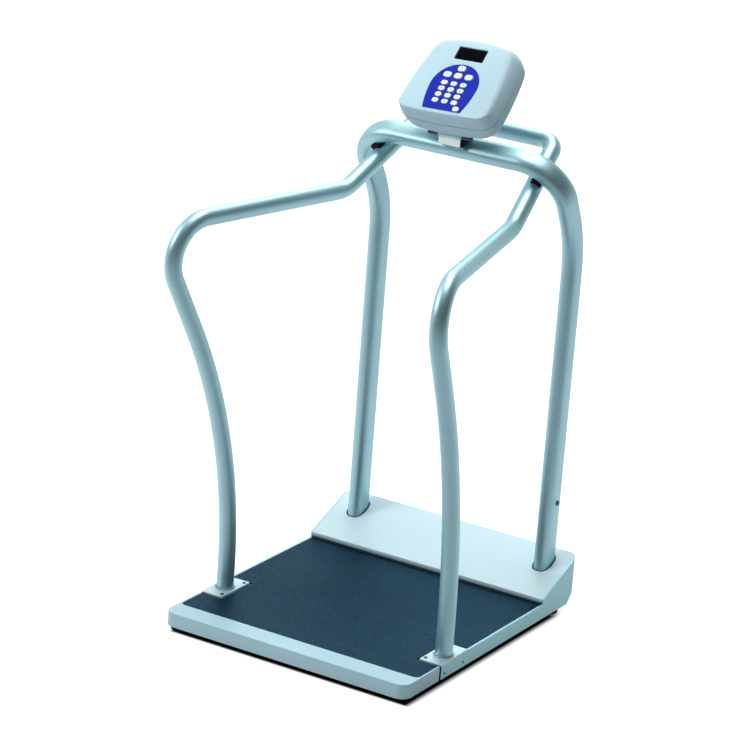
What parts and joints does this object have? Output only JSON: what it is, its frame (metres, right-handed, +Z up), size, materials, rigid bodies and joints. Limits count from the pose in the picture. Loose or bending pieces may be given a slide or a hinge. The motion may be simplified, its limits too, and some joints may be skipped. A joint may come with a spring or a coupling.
{
  "type": "bariatric platform scale with handrails",
  "caption": "Low square platform scale with bent handrails on both sides, an arched upright frame and a tilted display head with round-cornered keypad",
  "frame": {"origin": "on the floor, under the middle of the whole outline", "axes": "+Z up; the user steps on from -Y and faces +Y, towards the display; +X is at the user's right hand"},
  "size_m": [0.6794, 0.7658, 1.2468],
  "materials": {
    "satin_steel": "satin bent tube and plate",
    "bright_trim": "satin silver",
    "housing_silver": "pale silver paint",
    "panel_silver": "silver paint",
    "black_steel": "black powder coat",
    "galvanised": "galvanised",
    "black_rubber": "matt black",
    "mat_rubber": "dark slate, fine grain",
    "strip_grey": "grey, ribbed along its length",
    "head_plastic": "pale grey, fine texture",
    "key_white": "white",
    "overlay_blue": "deep blue film",
    "window_black": "smoked, nearly black",
    "board_green": "green circuit board",
    "cell_silver": "machined",
    "dark_plastic": "dark grey",
    "screw_steel": "dark plated"
  },
  "bodies": {
    "stand": {"base_frame": "black_steel", "deck_plate": "galvanised", "front_trim": "bright_trim", "side_panel_right": "panel_silver", "side_panel_left": "panel_silver", "platform_mat": "mat_rubber", "mat_retainer": "strip_grey", "rear_housing": "housing_silver", "junction_box": "dark_plastic", "handrail_sleeve": "galvanised", "upright_frame": "satin_steel", "head_bracket": "bright_trim", "swivel_bolt": "screw_steel", "head_lead": "black_rubber", "handrail_right": "satin_steel", "rail_plate_right": "satin_steel", "rail_saddle_right": "black_rubber", "upright_screw_right": "screw_steel", "wheel_axle_right": "cell_silver", "handrail_left": "satin_steel", "rail_plate_left": "satin_steel", "rail_saddle_left": "black_rubber", "upright_screw_left": "screw_steel", "wheel_axle_left": "cell_silver", "load_cell_front_right": "cell_silver", "load_cell_front_left": "cell_silver", "load_cell_rear_right": "cell_silver", "load_cell_rear_left": "cell_silver"},
    "display_head": {"head_front_shell": "head_plastic", "head_rear_shell": "head_plastic", "battery_door": "head_plastic", "battery_pack": "dark_plastic", "swivel_plate": "dark_plastic", "display_window": "window_black", "display_module": "dark_plastic", "main_board": "board_green", "keypad_overlay": "overlay_blue"},
    "key_power_cap": {"key_power": "key_white"},
    "key_function_left_cap": {"key_function_left": "key_white"},
    "key_function_middle_cap": {"key_function_middle": "key_white"},
    "key_function_right_cap": {"key_function_right": "key_white"},
    "key_7_cap": {"key_7": "key_white"},
    "key_8_cap": {"key_8": "key_white"},
    "key_9_cap": {"key_9": "key_white"},
    "key_4_cap": {"key_4": "key_white"},
    "key_5_cap": {"key_5": "key_white"},
    "key_6_cap": {"key_6": "key_white"},
    "key_1_cap": {"key_1": "key_white"},
    "key_2_cap": {"key_2": "key_white"},
    "key_3_cap": {"key_3": "key_white"},
    "key_clear_cap": {"key_clear": "key_white"},
    "key_0_cap": {"key_0": "key_white"},
    "key_point_cap": {"key_point": "key_white"},
    "key_enter_cap": {"key_enter": "key_white"},
    "foot_front_right_screw": {"foot_front_right": "black_rubber"},
    "foot_front_left_screw": {"foot_front_left": "black_rubber"},
    "foot_rear_right_screw": {"foot_rear_right": "black_rubber"},
    "foot_rear_left_screw": {"foot_rear_left": "black_rubber"},
    "transport_wheel_right_roll": {"transport_wheel_right": "black_rubber"},
    "transport_wheel_left_roll": {"transport_wheel_left": "black_rubber"}
  },
  "joints": [
    {"name": "head_swivel", "type": "hinge", "parent": "stand", "child": "display_head", "pos_m": [0, 0.2252, 1.03244], "axis": [0, -0.6347, 0.7727], "range_deg": [-90, 90]},
    {"name": "key_power_press", "type": "slide", "parent": "display_head", "child": "key_power_cap", "axis": [0, 0.6347, -0.7727], "range_m": [0, 0.0008], "stiffness_N_per_m": 400, "springref_m": -0.002},
    {"name": "key_function_left_press", "type": "slide", "parent": "display_head", "child": "key_function_left_cap", "axis": [0, 0.6347, -0.7727], "range_m": [0, 0.0008], "stiffness_N_per_m": 400, "springref_m": -0.002},
    {"name": "key_function_middle_press", "type": "slide", "parent": "display_head", "child": "key_function_middle_cap", "axis": [0, 0.6347, -0.7727], "range_m": [0, 0.0008], "stiffness_N_per_m": 400, "springref_m": -0.002},
    {"name": "key_function_right_press", "type": "slide", "parent": "display_head", "child": "key_function_right_cap", "axis": [0, 0.6347, -0.7727], "range_m": [0, 0.0008], "stiffness_N_per_m": 400, "springref_m": -0.002},
    {"name": "key_7_press", "type": "slide", "parent": "display_head", "child": "key_7_cap", "axis": [0, 0.6347, -0.7727], "range_m": [0, 0.0008], "stiffness_N_per_m": 400, "springref_m": -0.002},
    {"name": "key_8_press", "type": "slide", "parent": "display_head", "child": "key_8_cap", "axis": [0, 0.6347, -0.7727], "range_m": [0, 0.0008], "stiffness_N_per_m": 400, "springref_m": -0.002},
    {"name": "key_9_press", "type": "slide", "parent": "display_head", "child": "key_9_cap", "axis": [0, 0.6347, -0.7727], "range_m": [0, 0.0008], "stiffness_N_per_m": 400, "springref_m": -0.002},
    {"name": "key_4_press", "type": "slide", "parent": "display_head", "child": "key_4_cap", "axis": [0, 0.6347, -0.7727], "range_m": [0, 0.0008], "stiffness_N_per_m": 400, "springref_m": -0.002},
    {"name": "key_5_press", "type": "slide", "parent": "display_head", "child": "key_5_cap", "axis": [0, 0.6347, -0.7727], "range_m": [0, 0.0008], "stiffness_N_per_m": 400, "springref_m": -0.002},
    {"name": "key_6_press", "type": "slide", "parent": "display_head", "child": "key_6_cap", "axis": [0, 0.6347, -0.7727], "range_m": [0, 0.0008], "stiffness_N_per_m": 400, "springref_m": -0.002},
    {"name": "key_1_press", "type": "slide", "parent": "display_head", "child": "key_1_cap", "axis": [0, 0.6347, -0.7727], "range_m": [0, 0.0008], "stiffness_N_per_m": 400, "springref_m": -0.002},
    {"name": "key_2_press", "type": "slide", "parent": "display_head", "child": "key_2_cap", "axis": [0, 0.6347, -0.7727], "range_m": [0, 0.0008], "stiffness_N_per_m": 400, "springref_m": -0.002},
    {"name": "key_3_press", "type": "slide", "parent": "display_head", "child": "key_3_cap", "axis": [0, 0.6347, -0.7727], "range_m": [0, 0.0008], "stiffness_N_per_m": 400, "springref_m": -0.002},
    {"name": "key_clear_press", "type": "slide", "parent": "display_head", "child": "key_clear_cap", "axis": [0, 0.6347, -0.7727], "range_m": [0, 0.0008], "stiffness_N_per_m": 400, "springref_m": -0.002},
    {"name": "key_0_press", "type": "slide", "parent": "display_head", "child": "key_0_cap", "axis": [0, 0.6347, -0.7727], "range_m": [0, 0.0008], "stiffness_N_per_m": 400, "springref_m": -0.002},
    {"name": "key_point_press", "type": "slide", "parent": "display_head", "child": "key_point_cap", "axis": [0, 0.6347, -0.7727], "range_m": [0, 0.0008], "stiffness_N_per_m": 400, "springref_m": -0.002},
    {"name": "key_enter_press", "type": "slide", "parent": "display_head", "child": "key_enter_cap", "axis": [0, 0.6347, -0.7727], "range_m": [0, 0.0008], "stiffness_N_per_m": 400, "springref_m": -0.002},
    {"name": "foot_front_right_level", "type": "slide", "parent": "stand", "child": "foot_front_right_screw", "axis": [0, 0, -1], "range_m": [0, 0.008]},
    {"name": "foot_front_left_level", "type": "slide", "parent": "stand", "child": "foot_front_left_screw", "axis": [0, 0, -1], "range_m": [0, 0.008]},
    {"name": "foot_rear_right_level", "type": "slide", "parent": "stand", "child": "foot_rear_right_screw", "axis": [0, 0, -1], "range_m": [0, 0.008]},
    {"name": "foot_rear_left_level", "type": "slide", "parent": "stand", "child": "foot_rear_left_screw", "axis": [0, 0, -1], "range_m": [0, 0.008]},
    {"name": "transport_wheel_right_spin", "type": "hinge", "parent": "stand", "child": "transport_wheel_right_roll", "pos_m": [0.215, 0.3559, 0.029], "axis": [1, 0, 0], "continuous": true},
    {"name": "transport_wheel_left_spin", "type": "hinge", "parent": "stand", "child": "transport_wheel_left_roll", "pos_m": [-0.215, 0.3559, 0.029], "axis": [1, 0, 0], "continuous": true}
  ]
}
